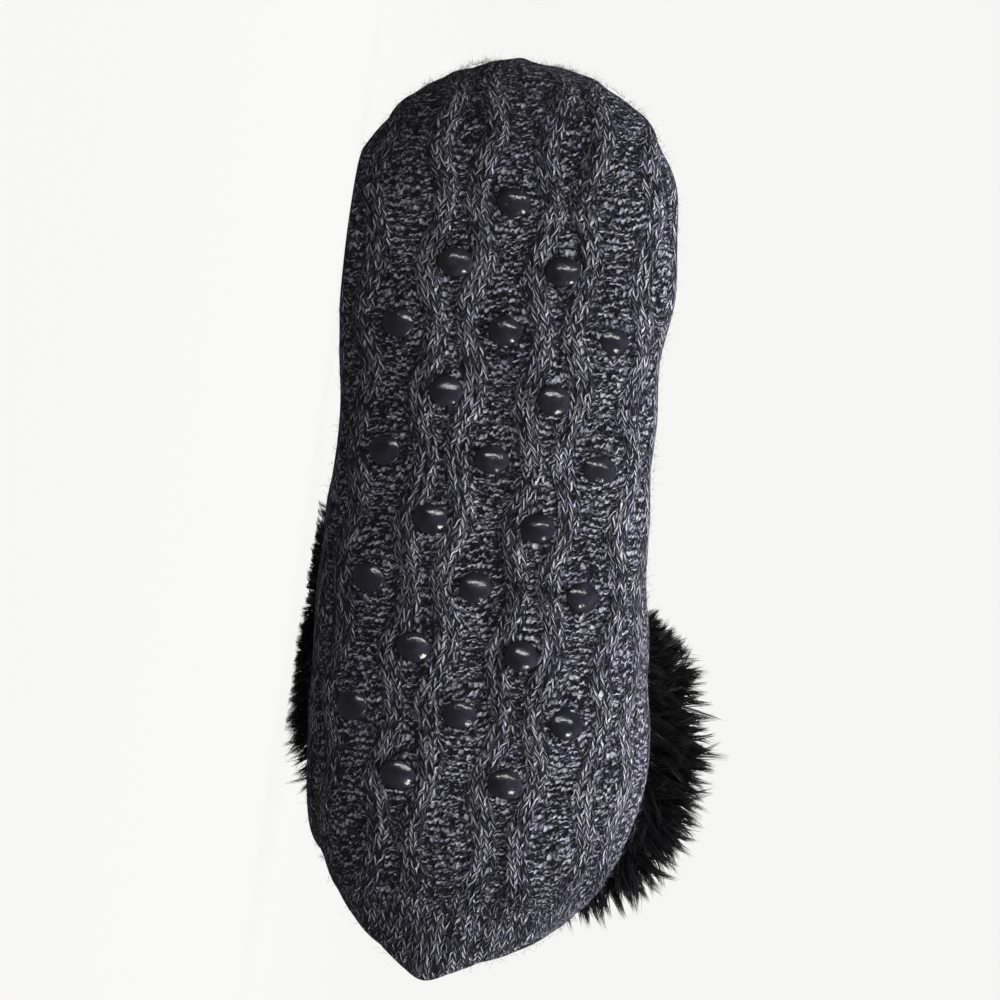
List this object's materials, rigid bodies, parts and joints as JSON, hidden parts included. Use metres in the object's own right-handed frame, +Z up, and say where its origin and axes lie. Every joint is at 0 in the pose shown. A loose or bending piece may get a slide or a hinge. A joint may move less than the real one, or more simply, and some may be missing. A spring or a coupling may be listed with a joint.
{
  "type": "slipper sock",
  "caption": "Cable-knit slipper sock with a turned-out faux-fur cuff and round silicone grip dots on the sole, lying empty on its side.",
  "frame": {"origin": "on the floor, under the middle of the sock's bounding box as it lies on its side", "axes": "-X from the heel to the toe along the floor, +Y from the sole to the collar, +Z up"},
  "size_m": [0.2538, 0.1152, 0.128],
  "materials": {
    "knit": "black and grey marl yarn, knitted in chain cables, matt",
    "fur": "deep black faux fur with a slight sheen",
    "silicone": "glossy black silicone"
  },
  "bodies": {
    "root": {"knitted_sock": "knit", "fur_cuff": "fur", "grip_dot_01": "silicone", "grip_dot_02": "silicone", "grip_dot_03": "silicone", "grip_dot_04": "silicone", "grip_dot_05": "silicone", "grip_dot_06": "silicone", "grip_dot_07": "silicone", "grip_dot_08": "silicone", "grip_dot_09": "silicone", "grip_dot_10": "silicone", "grip_dot_11": "silicone", "grip_dot_12": "silicone", "grip_dot_13": "silicone", "grip_dot_14": "silicone", "grip_dot_15": "silicone", "grip_dot_16": "silicone", "grip_dot_17": "silicone", "grip_dot_18": "silicone", "grip_dot_19": "silicone", "grip_dot_20": "silicone", "grip_dot_21": "silicone", "grip_dot_22": "silicone", "grip_dot_23": "silicone"}
  },
  "joints": []
}
